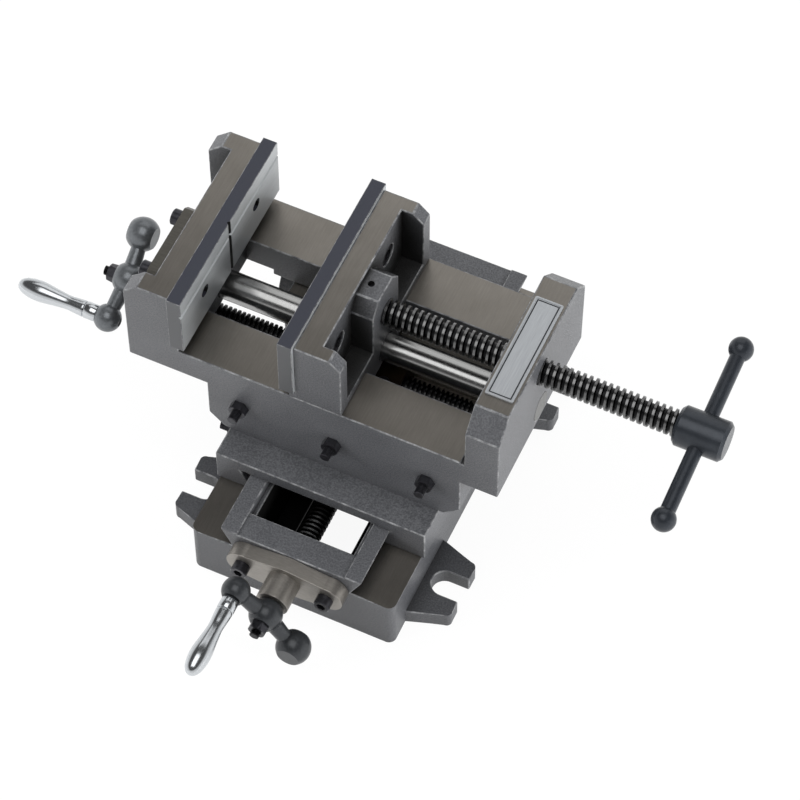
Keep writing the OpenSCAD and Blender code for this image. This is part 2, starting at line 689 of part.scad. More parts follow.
module slide_gib() color("gray") translate([0, 0, ledge_z])
  along_x(block_x0 + gib_inset, block_x1 - gib_inset) gib_section(slide_dovetail_w, slide_dovetail_h);

module slide_gib_screws() color("black") for (i = [-1:1])
  translate([i * slide_gib_pitch, -slide_gib_tip, slide_gib_z]) to_front()
    cylinder(d = small_screw_d, h = body_w / 2 - slide_gib_tip + nut_h + gib_screw_out);

module slide_gib_nuts() color("black") for (i = [-1:1])
  translate([i * slide_gib_pitch, -body_w / 2, slide_gib_z]) to_front()
    hex_nut(nut_flats, nut_h, small_screw_d + 2 * hole_play);

// One jaw plate from x to x + plate_t, with its two screw holes
module jaw_plate(x) difference() {
  translate([x, -plate_w / 2, bed_z + plate_lift]) cube([plate_t, plate_w, plate_h]);
  for (s = [-1, 1]) translate([x - cut, s * plate_screw_y, bed_z + plate_screw_z]) to_right()
    cylinder(d = plate_screw_d + 2 * hole_play, h = plate_t + 2 * cut);
}

// The fixed plate has a level and an upright V groove for round work
module fixed_jaw_plate() color("lightgray") difference() {
  jaw_plate(seat_x);
  translate([face_x, 0, plate_top_z - vee_drop]) rotate([0, 45, 0])
    cube([vee_w / sqrt(2), plate_w + 2 * cut, vee_w / sqrt(2)], center = true);
  translate([face_x, 0, bed_z + jaw_h / 2]) rotate([0, 0, 45])
    cube([vee_w / sqrt(2), vee_w / sqrt(2), 2 * jaw_h], center = true);
}

module fixed_plate_screws() color("black") for (s = [-1, 1])
  translate([jaw_back_x + head_seat, s * plate_screw_y, bed_z + plate_screw_z]) to_left()
    cap_screw(plate_screw_d, plate_head_d, plate_head_h, jaw_back_t - head_seat + plate_t - 2);

module guide_rod() color("silver") translate([slot_x0 - rod_grip, 0, rod_z]) to_right()
  cylinder(d = rod_d, h = body_x1 - slot_x0 + rod_grip);

// Side bearing bracket: a plate that hangs from the left end of the vise body and carries a turned boss
module side_bracket() color("darkgray")
  translate([bracket_seat_x, 0, side_axis_z]) to_left() difference() {
    corner_cut = 4;
    top = side_rise + side_corner_r;
    side = side_screw_y + side_corner_r;
    union() {
      linear_extrude(bracket_t) polygon([
        [0, -flange_r * 0.96], [side_rise - side_corner_r, -side], [top - corner_cut, -side],
        [top, -side + corner_cut], [top, side - corner_cut], [top - corner_cut, side],
        [side_rise - side_corner_r, side], [0, flange_r * 0.96]]);
      cylinder(r = flange_r, h = bracket_t);
      cylinder(d = boss_d, h = bracket_t + side_boss_l);
    }
    translate([0, 0, -cut])
      cylinder(d = journal_d + 2 * journal_play, h = bracket_t + side_boss_l + 2 * cut);
    for (s = [-1, 1]) translate([side_rise, s * side_screw_y, -cut])
      cylinder(d = small_screw_d + 2 * hole_play, h = bracket_t + 2 * cut);
  }

module side_bracket_screws() color("black") for (s = [-1, 1])
  translate([bracket_seat_x - bracket_t, s * side_screw_y, bed_z + side_screw_z]) to_left()
    cap_screw(small_screw_d, small_head_d, small_head_h, bracket_t + screw_depth);

// Nameplate on the end block, bare, with a raised border
module nameplate() color("silver")
  translate([end_x0 + end_t / 2, -name_shift, bed_z + end_h]) difference() {
    linear_extrude(name_t) round_rect(name_w, name_l, 1);
    translate([0, 0, name_t * 0.6]) linear_extrude(name_t) round_rect(name_w - 2, name_l - 2, 0.5);
  }

module side_lead_screw() color("black") translate([bracket_seat_x, 0, side_axis_z]) to_left()
  lead_screw(side_lead_l, side_hub_x + hub_w / 2);
module side_crank() color("dimgray") at_side_crank() ball_crank();
module side_crank_nut() color("black") at_side_crank() translate([0, 0, hub_w / 2])
  hex_nut(nut_flats, nut_h, stud_d + 2 * hole_play);
module side_spindle() color("gray") at_side_crank() spindle();
module side_handle() color("white") at_side_crank() revolving_handle();

// Moving jaw casting: wall, two ears, foot, boss for the vise screw and a tongue in the slot
module moving_jaw() color("dimgray") difference() {
  union() {
    along_y(body_w) polygon([
      [moving_seat_x - plate_ledge, bed_z], [moving_x1, bed_z], [moving_x1, bed_z + foot_t],
      [moving_back_x, bed_z + foot_t], [moving_back_x, bed_z + jaw_h], [moving_seat_x, bed_z + jaw_h],
      [moving_seat_x, bed_z + plate_lift], [moving_seat_x - plate_ledge, bed_z + plate_lift]]);
    for (s = [-1, 1]) translate([0, s * (body_w - moving_ear_t) / 2, 0]) along_y(moving_ear_t) polygon([
      [moving_back_x - cut, bed_z], [moving_x1, bed_z], [moving_x1, bed_z + jaw_h - moving_ear_chamfer],
      [moving_x1 - moving_ear_chamfer, bed_z + jaw_h], [moving_back_x - cut, bed_z + jaw_h]]);
    along_x(moving_back_x - cut, moving_x1) polygon([
      [-boss_w / 2, bed_z], [boss_w / 2, bed_z], [boss_w / 2, bed_z + boss_h - boss_slope_h],
      [boss_top_w / 2, bed_z + boss_h], [-boss_top_w / 2, bed_z + boss_h],
      [-boss_w / 2, bed_z + boss_h - boss_slope_h]]);
    translate([moving_seat_x - plate_ledge, -slot_w / 2 + side_play, bed_z - tongue_h])
      cube([moving_x1 - moving_seat_x + plate_ledge, slot_w - 2 * side_play, tongue_h + cut]);
  }
  translate([moving_x, 0, rod_z]) to_right()
    cylinder(d = rod_d + 2 * journal_play, h = moving_x1 - moving_x + cut);
  translate([screw_tip_x - 1, 0, screw_axis_z]) to_right()
    cylinder(d = spigot_d + 2 * journal_play, h = moving_x1 - screw_tip_x + 1 + cut);
  translate([pin_x, 0, screw_axis_z]) cylinder(d = pin_d + 2 * press_play, h = boss_h);
  for (s = [-1, 1]) translate([moving_back_x, s * plate_screw_y, bed_z + plate_screw_z]) to_left()
    sunk_hole(moving_wall_t);
}

module moving_jaw_plate() color("lightgray") jaw_plate(moving_x);

module moving_plate_screws() color("black") for (s = [-1, 1])
  translate([moving_back_x - head_seat, s * plate_screw_y, bed_z + plate_screw_z]) to_right()
    cap_screw(plate_screw_d, plate_head_d, plate_head_h, moving_wall_t - head_seat + plate_t - 2);

// The pin drops into the groove of the vise screw and ties it to the moving jaw
module retaining_pin() color("gray")
  translate([pin_x, 0, screw_axis_z + groove_d / 2 + pin_play])
    cylinder(d = pin_d, h = boss_h - vise_screw_z - groove_d / 2 - 4);

// Vise screw: grooved spigot in the moving jaw, plain core of the thread, spigot in the head
module vise_screw() color("black") translate([0, 0, screw_axis_z]) difference() {
  union() {
    translate([screw_tip_x, 0, 0]) to_right() cylinder(d = spigot_d, h = head_x0 - screw_tip_x);
    translate([moving_x1 + face_play, 0, 0]) to_right()
      cylinder(d = vise_screw_d, h = head_x0 - moving_x1 - face_play);
    translate([head_x0 - cut, 0, 0]) to_right() cylinder(d = spigot_d, h = head_spigot_l + cut);
  }
  translate([pin_x - pin_d / 2 - pin_play, 0, 0]) to_right() difference() {
    cylinder(d = vise_screw_d, h = pin_d + 2 * pin_play);
    translate([0, 0, -cut]) cylinder(d = groove_d, h = pin_d + 2 * pin_play + 2 * cut);
  }
}

// Head of the vise screw with the cross hole for the tommy bar
module screw_head() color("dimgray") translate([head_x0, 0, screw_axis_z]) difference() {
  to_right() rotate_extrude() polygon([
    [0, 0], [head_d / 2 - 2 * chamfer_edge, 0], [head_d / 2, 2 * chamfer_edge],
    [head_d / 2, head_l - 2 * chamfer_edge], [head_d / 2 - 2 * chamfer_edge, head_l], [0, head_l]]);
  translate([-cut, 0, 0]) to_right()
    cylinder(d = spigot_d + 2 * press_play, h = head_spigot_l + press_play + cut);
  translate([head_l / 2, 0, 0]) rotate([tommy_tilt, 0, 0]) along_y(2 * head_d)
    circle(d = tommy_d + 2 * hole_play);
}

module at_tommy_bar() translate([head_mid_x, 0, screw_axis_z]) rotate([tommy_tilt, 0, 0]) children();

module tommy_bar() color("dimgray") at_tommy_bar() along_y(tommy_l) circle(d = tommy_d);

module tommy_bar_balls() color("dimgray") at_tommy_bar() difference() {
  for (s = [-1, 1]) translate([0, s * tommy_l / 2, 0]) sphere(d = tommy_ball_d);
  along_y(tommy_l + press_play) circle(d = tommy_d + 2 * press_play);
}

base();
front_bracket();
front_bracket_screws();
front_lead_screw();
front_crank();
front_crank_nut();
front_spindle();
front_handle();
saddle();
cross_gib();
cross_gib_screws();
cross_gib_nuts();
front_nut();
front_nut_screws();
side_nut();
side_nut_screws();
vise_body();
slide_gib();
slide_gib_screws();
slide_gib_nuts();
fixed_jaw_plate();
fixed_plate_screws();
guide_rod();
side_bracket();
side_bracket_screws();
nameplate();
side_lead_screw();
side_crank();
side_crank_nut();
side_spindle();
side_handle();
moving_jaw();
moving_jaw_plate();
moving_plate_screws();
retaining_pin();
vise_screw();
screw_head();
tommy_bar();
tommy_bar_balls();
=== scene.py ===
import math

import bmesh
import bpy
from mathutils import Matrix, Vector


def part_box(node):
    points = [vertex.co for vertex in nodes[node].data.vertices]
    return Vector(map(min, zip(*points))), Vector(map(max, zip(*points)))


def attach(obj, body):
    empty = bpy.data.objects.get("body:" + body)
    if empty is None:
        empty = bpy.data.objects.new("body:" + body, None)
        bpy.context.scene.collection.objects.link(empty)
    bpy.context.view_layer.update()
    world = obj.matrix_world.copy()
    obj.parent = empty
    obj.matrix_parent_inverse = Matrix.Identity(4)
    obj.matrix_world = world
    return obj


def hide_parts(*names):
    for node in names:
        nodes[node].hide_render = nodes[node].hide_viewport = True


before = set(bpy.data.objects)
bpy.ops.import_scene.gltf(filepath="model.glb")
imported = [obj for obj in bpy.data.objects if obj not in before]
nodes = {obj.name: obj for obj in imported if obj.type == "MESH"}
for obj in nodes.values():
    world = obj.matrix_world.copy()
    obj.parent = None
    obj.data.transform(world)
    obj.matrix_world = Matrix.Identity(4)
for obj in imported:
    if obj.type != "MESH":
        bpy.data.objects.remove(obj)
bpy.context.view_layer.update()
mm = 0.001

# Base casting, lying under everything: grey iron cast in a sand mould and sprayed with dark grey
# machine paint. Only the two flat ways beside the dovetail rails are milled bare. Its outer edges
# are rubbed bright.


def linear(code):
    """Linear colour of an sRGB hex value."""
    parts = [int(code[i : i + 2], 16) / 255 for i in (1, 3, 5)]
    return [c / 12.92 if c <= 0.04045 else ((c + 0.055) / 1.055) ** 2.4 for c in parts] + [1.0]


def add_node(tree, kind, inputs=None, **settings):
    """Adds a node, sets its properties, and fills or links its inputs by name or number."""
    node = tree.nodes.new(kind)
    for name, value in settings.items():
        setattr(node, name, value)
    for key, value in (inputs or {}).items():
        if isinstance(value, bpy.types.NodeSocket):
            tree.links.new(value, node.inputs[key])
        else:
            node.inputs[key].default_value = value
    return node


def new_material(name):
    """A node material, its tree and its shader."""
    material = bpy.data.materials.new(name)
    material.use_nodes = True
    tree = material.node_tree
    return material, tree, tree.nodes["Principled BSDF"]


def within(tree, point, limits):
    """1 where a point lies nearer to the middle than a limit on each axis, and 0 elsewhere."""
    size = add_node(tree, "ShaderNodeVectorMath", {0: point}, operation="ABSOLUTE").outputs[0]
    beyond = add_node(tree, "ShaderNodeVectorMath", {0: size, 1: limits}, operation="SUBTRACT")
    parts = add_node(tree, "ShaderNodeSeparateXYZ", {0: beyond.outputs[0]}).outputs
    most = add_node(tree, "ShaderNodeMath", {0: parts["X"], 1: parts["Y"]}, operation="MAXIMUM")
    most = add_node(tree, "ShaderNodeMath", {0: most.outputs[0], 1: parts["Z"]}, operation="MAXIMUM")
    return add_node(tree, "ShaderNodeMath", {0: most.outputs[0], 1: 0.0},
                    operation="LESS_THAN").outputs[0]


# The sand grain of the mould shows through the paint as a fine speckle, drawn about twice as coarse
# as real so that it shows. Low down the paint is darker, a painted shade. Milled faces carry fine
# cutter lines across the vise and look brownish grey.
PAINT = linear("#535457")
PAINT_DARK = linear("#3c3d40")
PAINT_SHADED_LOW = linear("#2c2d30")
MILLED = linear("#8f8b85")
MILLED_DARK = linear("#66625c")
# Painted shade: a near black laid into corners, recesses and hollows.
SHADE_BLACK = linear("#121212")
SAND_GRAIN = 1.0 * mm
STAIN = 25 * mm
CUTTER_LINE = 0.9 * mm
CUTTER_LAY = (1.0, 0.06, 1.0)
SHADE_HEIGHT = 70 * mm
CORNER_REACH = 30 * mm
LOOKS_ALONG = 0.9


def painted_iron(name, bare, corner_shade=(0.32, 0.7), shaded_hollow=None):
    """Painted cast iron, milled bare in bands of height: (low, high, only where the face looks up).
    Painted shade darkens the paint towards black where less of the sky is open than its two limits.
    Inside a box given as half width, half length and top, the paint is painted black as shade."""
    material, tree, shader = new_material(name)
    place = add_node(tree, "ShaderNodeTexCoord").outputs
    height = add_node(tree, "ShaderNodeSeparateXYZ", {0: place["Object"]}).outputs["Z"]
    facing = add_node(tree, "ShaderNodeSeparateXYZ", {0: place["Normal"]}).outputs["Z"]
    up = add_node(tree, "ShaderNodeMath", {0: facing, 1: LOOKS_ALONG}, operation="GREATER_THAN")
    mask = None
    for low, high, only_up in bare:
        above = add_node(tree, "ShaderNodeMath", {0: height, 1: low}, operation="GREATER_THAN")
        below = add_node(tree, "ShaderNodeMath", {0: height, 1: high}, operation="LESS_THAN")
        band = add_node(tree, "ShaderNodeMath", {0: above.outputs[0], 1: below.outputs[0]},
                        operation="MULTIPLY").outputs[0]
        if only_up:
            band = add_node(tree, "ShaderNodeMath", {0: band, 1: up.outputs[0]},
                            operation="MULTIPLY").outputs[0]
        if mask is None:
            mask = band
        else:
            mask = add_node(tree, "ShaderNodeMath", {0: mask, 1: band},
                            operation="MAXIMUM").outputs[0]
    grain = add_node(tree, "ShaderNodeTexNoise", {
        "Vector": place["Object"], "Scale": 1 / SAND_GRAIN, "Detail": 2.0, "Roughness": 0.5})
    stains = add_node(tree, "ShaderNodeTexNoise", {
        "Vector": place["Object"], "Scale": 1 / STAIN, "Detail": 4.0, "Roughness": 0.6})
    drawn = add_node(tree, "ShaderNodeMapping", {"Vector": place["Object"], "Scale": CUTTER_LAY})
    cuts = add_node(tree, "ShaderNodeTexNoise", {
        "Vector": drawn.outputs[0], "Scale": 1 / CUTTER_LINE, "Detail": 3.0, "Roughness": 0.7})
    speckle = add_node(tree, "ShaderNodeMix", {
        "Factor": 0.2, 2: grain.outputs["Fac"], 3: stains.outputs["Fac"]})
    spread = add_node(tree, "ShaderNodeMapRange", {
        "Value": speckle.outputs[0], "From Min": 0.38, "From Max": 0.62})
    # Painted shade: the paint turns darker towards the bottom of each casting.
    upper = add_node(tree, "ShaderNodeMapRange", {
        "Value": height, "From Max": SHADE_HEIGHT, "To Min": 0.55})
    # Painted shade: corners and recesses turn towards black where ambient occlusion finds the sky
    # closed.
    open_sky = add_node(tree, "ShaderNodeAmbientOcclusion", {"Distance": CORNER_REACH},
                        samples=8, only_local=True)
    unshaded = add_node(tree, "ShaderNodeMapRange", {
        "Value": open_sky.outputs["AO"], "From Min": corner_shade[0], "From Max": corner_shade[1]})
    paint = add_node(tree, "ShaderNodeMix", {
        "Factor": spread.outputs[0], 6: PAINT_DARK, 7: PAINT}, data_type="RGBA")
    for share, shade_tone in ((upper, PAINT_SHADED_LOW), (unshaded, SHADE_BLACK)):
        paint = add_node(tree, "ShaderNodeMix", {
            "Factor": share.outputs[0], 6: shade_tone, 7: paint.outputs[2]}, data_type="RGBA")
    # Painted shade: inside the hollow the paint is black and has no specular.
    if shaded_hollow:
        inside = within(tree, place["Object"], shaded_hollow)
        paint = add_node(tree, "ShaderNodeMix", {
            "Factor": inside, 6: paint.outputs[2], 7: SHADE_BLACK}, data_type="RGBA")
        sheen = add_node(tree, "ShaderNodeMapRange", {"Value": inside, "To Min": 0.45, "To Max": 0.0})
        tree.links.new(sheen.outputs[0], shader.inputs["Specular IOR Level"])
    shine = add_node(tree, "ShaderNodeMix", {
        "Factor": 0.5, 2: cuts.outputs["Fac"], 3: stains.outputs["Fac"]})
    metal = add_node(tree, "ShaderNodeMix", {
        "Factor": shine.outputs[0], 6: MILLED_DARK, 7: MILLED}, data_type="RGBA")
    colour = add_node(tree, "ShaderNodeMix", {
        "Factor": mask, 6: paint.outputs[2], 7: metal.outputs[2]}, data_type="RGBA")
    rough = add_node(tree, "ShaderNodeMapRange", {"Value": mask, "To Min": 0.42, "To Max": 0.34})
    relief = add_node(tree, "ShaderNodeMix", {
        "Factor": mask, 2: grain.outputs["Fac"], 3: cuts.outputs["Fac"]})
    depth = add_node(tree, "ShaderNodeMapRange", {"Value": mask, "To Min": 0.7, "To Max": 0.12})
    bump = add_node(tree, "ShaderNodeBump", {
        "Strength": depth.outputs[0], "Distance": 0.3 * mm, "Height": relief.outputs[0]})
    tree.links.new(colour.outputs[2], shader.inputs["Base Color"])
    tree.links.new(mask, shader.inputs["Metallic"])
    tree.links.new(rough.outputs[0], shader.inputs["Roughness"])
    tree.links.new(bump.outputs[0], shader.inputs["Normal"])
    return material


# Where hands and swarf rub the paint off an edge, the iron shows as a thin light line, broken by
# patches of paint. In the trough, which opens through the base, the edges are painted black as
# shade, like its walls.
TROUGH = (31.2 * mm, 101.2 * mm, 49.8 * mm)
RUBBED_PATCH = 5 * mm
edge_wear_and_shade, tree, shader = new_material("cast_iron_edge_wear_and_shade")
place = add_node(tree, "ShaderNodeTexCoord").outputs
rub = add_node(tree, "ShaderNodeTexNoise", {
    "Vector": place["Object"], "Scale": 1 / RUBBED_PATCH, "Detail": 5.0, "Roughness": 0.7})
worn = add_node(tree, "ShaderNodeMapRange", {
    "Value": rub.outputs["Fac"], "From Min": 0.4, "From Max": 0.66})
tone = add_node(tree, "ShaderNodeMix", {
    "Factor": worn.outputs[0], 6: linear("#505154"), 7: linear("#909192")}, data_type="RGBA")
# Painted shade: edges inside the trough are painted black.
tone = add_node(tree, "ShaderNodeMix", {
    "Factor": within(tree, place["Object"], TROUGH), 6: tone.outputs[2], 7: SHADE_BLACK}, data_type="RGBA")
tree.links.new(tone.outputs[2], shader.inputs["Base Color"])
shader.inputs["Metallic"].default_value = 0.35
shader.inputs["Roughness"].default_value = 0.45


def broken_edges(node, body, width, face, edge,
                 shortest=0.8 * mm, sharpest=35, weld=0.001 * mm):
    """A copy of a CAD node with its outer edges broken by a small round with a finish of its own.
    Edges shorter than one length or blunter than an angle in degrees stay as they are."""
    bpy.ops.object.select_all(action="DESELECT")
    piece = bpy.data.objects.new(node + "_finished", nodes[node].data.copy())
    bpy.context.scene.collection.objects.link(piece)
    piece.select_set(True)
    bpy.context.view_layer.objects.active = piece
    bpy.ops.mesh.customdata_custom_splitnormals_clear()
    piece.data.materials.clear()
    piece.data.materials.append(face)
    piece.data.materials.append(edge)
    bpy.ops.object.mode_set(mode="EDIT")
    bpy.ops.mesh.select_mode(type="EDGE")
    bpy.ops.mesh.select_all(action="SELECT")
    bpy.ops.mesh.remove_doubles(threshold=weld)
    bpy.ops.mesh.dissolve_limited(angle_limit=math.radians(0.5))
    bpy.ops.mesh.select_all(action="DESELECT")
    shape = bmesh.from_edit_mesh(piece.data)
    for line in shape.edges:
        if line.is_manifold and line.is_convex and line.calc_length() > shortest:
            line.select_set(line.calc_face_angle() > math.radians(sharpest))
    bmesh.update_edit_mesh(piece.data)
    bpy.ops.mesh.bevel(offset=width, segments=2, affect="EDGES", clamp_overlap=False, material=1)
    bpy.ops.object.mode_set(mode="OBJECT")
    bpy.ops.object.shade_smooth_by_angle(angle=math.radians(30))
    flat = piece.modifiers.new("flat_faces", "WEIGHTED_NORMAL")
    flat.weight = 100
    flat.keep_sharp = True
    bpy.ops.object.modifier_apply(modifier="flat_faces")
    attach(piece, body)
    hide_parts(node)


EDGE_ROUND = 0.8 * mm
BASE_WAYS = (40.2 * mm, 40.8 * mm, True)
# Painted shade: the trough inside the base is painted black.
base_iron = painted_iron("painted_cast_iron_base", [BASE_WAYS], shaded_hollow=TROUGH)
broken_edges("base", "base", EDGE_ROUND, base_iron, edge_wear_and_shade)

# Bearing brackets: iron castings, turned on the boss and milled on the flange, left bare. The front
# one is bright with fine cutter lines; the side one has a darker brown copy of the same iron, a
# painted shade. Two socket cap screws of blackened steel hold each one.


def mottled(name, size, dark, light, metallic, roughness,
            stretch=(1, 1, 1), detail=3.0, harsh=0.5, bump=0.0):
    """A finish that wavers between two tones in spots of a size, long where the stretch is small."""
    material, tree, shader = new_material(name)
    place = add_node(tree, "ShaderNodeTexCoord")
    drawn = add_node(tree, "ShaderNodeMapping", {"Vector": place.outputs["Object"], "Scale": stretch})
    spots = add_node(tree, "ShaderNodeTexNoise", {
        "Vector": drawn.outputs[0], "Scale": 1 / size, "Detail": detail, "Roughness": harsh})
    tone = add_node(tree, "ShaderNodeMix", {
        "Factor": spots.outputs["Fac"], 6: linear(dark), 7: linear(light)}, data_type="RGBA")
    tree.links.new(tone.outputs[2], shader.inputs["Base Color"])
    shader.inputs["Metallic"].default_value = metallic
    shader.inputs["Roughness"].default_value = roughness
    if bump:
        relief = add_node(tree, "ShaderNodeBump", {
            "Strength": bump, "Distance": 0.2 * mm, "Height": spots.outputs["Fac"]})
        tree.links.new(relief.outputs[0], shader.inputs["Normal"])
    return material


BRACKET_ROUND = 0.5 * mm
for node, body, name, dark, light in (
        ("front_bracket", "base", "turned_cast_iron", "#7b7772", "#a09c96"),
        # Painted shade: the side bracket gets a darker copy of the same iron.
        ("side_bracket", "vise_body", "turned_cast_iron_shaded", "#4b4945", "#6b6862")):
    iron = mottled(name, 0.7 * mm, dark, light, 0.9, 0.42, stretch=(0.1, 1, 1), harsh=0.7, bump=0.15)
    broken_edges(node, body, BRACKET_ROUND, iron, iron, weld=0.5 * mm)

# Screws, nuts, pins and spindles: steel from a hot salt bath, which leaves them blue-black and
# slightly blotchy with a dull gloss. The nuts of the gib screws and of the cranks are hexagons with
# broken edges.


def dress(name, material):
    """Gives a CAD node one material in all its slots."""
    for slot in nodes[name].material_slots:
        slot.material = material


NUT_ROUND = 0.3 * mm
LONG_EDGE = 3 * mm
black_oxide = mottled("black_oxide_steel", 2.5 * mm, "#222225", "#46464b", 0.8, 0.3)
for name in ("front_bracket_screws", "side_bracket_screws", "fixed_plate_screws",
             "moving_plate_screws", "front_nut_screws", "side_nut_screws", "retaining_pin",
             "front_spindle", "side_spindle"):
    dress(name, black_oxide)
for name, body in (("front_crank_nut", "front_screw"), ("side_crank_nut", "side_screw"),
                   ("cross_gib_nuts", "saddle"), ("slide_gib_nuts", "vise_body")):
    broken_edges(name, body, NUT_ROUND, black_oxide, black_oxide, LONG_EDGE)

# Lead screws: black steel with a trapezoidal thread of 3 mm lead, cut on a lathe, and a finer thread
# for the crank nut. The front one lies in the trough of the base and moves the saddle, the side one
# moves the body.


def start_piece(name):
    """Names the object that was just added."""
    piece = bpy.context.object
    piece.name = name
    piece.data.name = name
    return piece


FLANK_ANGLE = math.radians(15)


def threaded_rod(name, radius, depth, lead, start, end, turn):
    """A rod along the direction of turn, threaded from start to end, with flat ends."""
    bpy.ops.object.select_all(action="DESELECT")
    bpy.ops.mesh.primitive_circle_add(vertices=6, radius=lead)
    rod = start_piece(name)
    flank = depth * math.tan(FLANK_ANGLE)
    land = (lead - 2 * flank) / 2
    section = [(radius - depth, 0), (radius - depth, land), (radius, land + flank),
               (radius, 2 * land + flank), (radius - depth, lead)]
    rod.data.clear_geometry()
    rod.data.from_pydata([(r, 0, z) for r, z in section], [(i, i + 1) for i in range(4)], [])
    screw = rod.modifiers.new("thread", "SCREW")
    screw.angle = math.radians(360)
    screw.screw_offset = lead
    screw.iterations = int((end - start) / lead) + 3
    screw.steps = screw.render_steps = 40
    screw.axis = "Z"
    screw.use_merge_vertices = False
    bpy.ops.object.modifier_apply(modifier="thread")
    bpy.ops.object.mode_set(mode="EDIT")
    bpy.ops.mesh.select_all(action="SELECT")
    bpy.ops.mesh.remove_doubles(threshold=1e-6)
    bpy.ops.mesh.bisect(plane_co=(0, 0, lead), plane_no=(0, 0, 1), use_fill=True, clear_inner=True)
    bpy.ops.mesh.select_all(action="SELECT")
    bpy.ops.mesh.bisect(plane_co=(0, 0, lead + end - start), plane_no=(0, 0, 1), use_fill=True,
                        clear_outer=True)
    bpy.ops.mesh.select_all(action="SELECT")
    bpy.ops.mesh.normals_make_consistent(inside=False)
    bpy.ops.object.mode_set(mode="OBJECT")
    rod.data.transform(turn @ Matrix.Translation((0, 0, start - lead)))
    bpy.ops.object.shade_smooth_by_angle(angle=math.radians(35))
    return rod


def join_pieces(pieces):
    """Joins pieces into the first one."""
    bpy.ops.object.select_all(action="DESELECT")
    for piece in pieces:
        piece.select_set(True)
    bpy.context.view_layer.objects.active = pieces[0]
    bpy.ops.object.join()
    return pieces[0]


BAR_CHAMFER = 0.5 * mm


def turned_bar(name, radius, start, end, turn):
    """A plain turned bar with chamfered ends along the direction of turn."""
    bpy.ops.object.select_all(action="DESELECT")
    bpy.ops.mesh.primitive_cylinder_add(vertices=64, radius=radius, depth=end - start)
    bar = start_piece(name)
    bpy.ops.object.mode_set(mode="EDIT")
    bpy.ops.mesh.select_mode(type="FACE")
    bpy.ops.mesh.select_all(action="DESELECT")
    bpy.ops.object.mode_set(mode="OBJECT")
    for face in bar.data.polygons:
        face.select = abs(face.normal.z) > LOOKS_ALONG
    bpy.ops.object.mode_set(mode="EDIT")
    bpy.ops.mesh.bevel(offset=BAR_CHAMFER, segments=2, affect="EDGES")
    bpy.ops.object.mode_set(mode="OBJECT")
    bar.data.transform(turn @ Matrix.Translation((0, 0, (start + end) / 2)))
    bpy.ops.object.shade_smooth_by_angle(angle=math.radians(40))
    return bar


def along_x(y, z):
    """Turns a piece made along Z to lie along X."""
    return Matrix.Translation((0, y, z)) @ Matrix.Rotation(math.radians(90), 4, "Y")


def along_y(x, z):
    """Turns a piece made along Z to lie along Y."""
    return Matrix.Translation((x, 0, z)) @ Matrix.Rotation(math.radians(-90), 4, "X")


# The screws are black with old oil at the root of the thread, and the nuts rub the crests bright.


def screw_steel(name, axis, centre, crest, crest_wear_and_light):
    """Steel of a screw along an axis through a point, worn lighter near the radius of the crest.
    The crest tone also carries painted light and shade.
    """
    material, tree, shader = new_material(name)
    place = add_node(tree, "ShaderNodeTexCoord")
    away = add_node(tree, "ShaderNodeVectorMath", {0: place.outputs["Object"], 1: centre},
                    operation="SUBTRACT")
    across = [0.0 if i == axis else 1.0 for i in range(3)]
    flat = add_node(tree, "ShaderNodeVectorMath", {0: away.outputs[0], 1: across},
                    operation="MULTIPLY")
    radius = add_node(tree, "ShaderNodeVectorMath", {0: flat.outputs[0]}, operation="LENGTH")
    bright = add_node(tree, "ShaderNodeMapRange", {
        "Value": radius.outputs["Value"], "From Min": crest - 0.5 * mm, "From Max": crest - 0.1 * mm})
    tone = add_node(tree, "ShaderNodeMix", {
        "Factor": bright.outputs[0], 6: linear("#1f1f20"), 7: linear(crest_wear_and_light)}, data_type="RGBA")
    gloss = add_node(tree, "ShaderNodeMapRange", {
        "Value": bright.outputs[0], "To Min": 0.4, "To Max": 0.25})
    tree.links.new(tone.outputs[2], shader.inputs["Base Color"])
    tree.links.new(gloss.outputs[0], shader.inputs["Roughness"])
    shader.inputs["Metallic"].default_value = 1.0
    return material


THREAD_R, THREAD_DEPTH, LEAD = 7 * mm, 1.75 * mm, 3 * mm
STUD_R, STUD_DEPTH, STUD_LEAD, STUD_L = 2.9 * mm, 0.5 * mm, 1 * mm, 8 * mm
JOURNAL_R = 5 * mm
THREAD_GAP = 0.2 * mm
REAR_BEARING = 17 * mm
# Painted light and shade: the front screw's crests get a light tone, and the side screw's a dark one
# for the shade under the moving jaw.
for node, body, axis, crest_wear_and_light in (("front_lead_screw", "front_screw", 1, "#8a8a8a"),
                                 ("side_lead_screw", "side_screw", 0, "#2c2c2c")):
    low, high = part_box(node)
    middle = (low + high) / 2
    if axis == 1:
        turn = along_y(middle.x, middle.z)
        front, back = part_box("base")
        first, last = front.y + THREAD_GAP, back.y - REAR_BEARING - THREAD_GAP
        bars = [(low.y + STUD_L, first), (last, high.y)]
    else:
        turn = along_x(middle.y, middle.z)
        first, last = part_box("side_bracket")[1].x + THREAD_GAP, high.x
        bars = [(low.x + STUD_L, first)]
    rod = join_pieces([
        threaded_rod(node + "_thread", THREAD_R, THREAD_DEPTH, LEAD, first, last, turn),
        threaded_rod(node + "_stud", STUD_R, STUD_DEPTH, STUD_LEAD,
                     low[axis], low[axis] + STUD_L, turn)]
        + [turned_bar(f"{node}_journal_{i}", JOURNAL_R, a, b, turn) for i, (a, b) in enumerate(bars)])
    rod.data.materials.append(screw_steel(node + "_steel", axis, middle, THREAD_R, crest_wear_and_light))
    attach(rod, body)
    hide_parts(node)

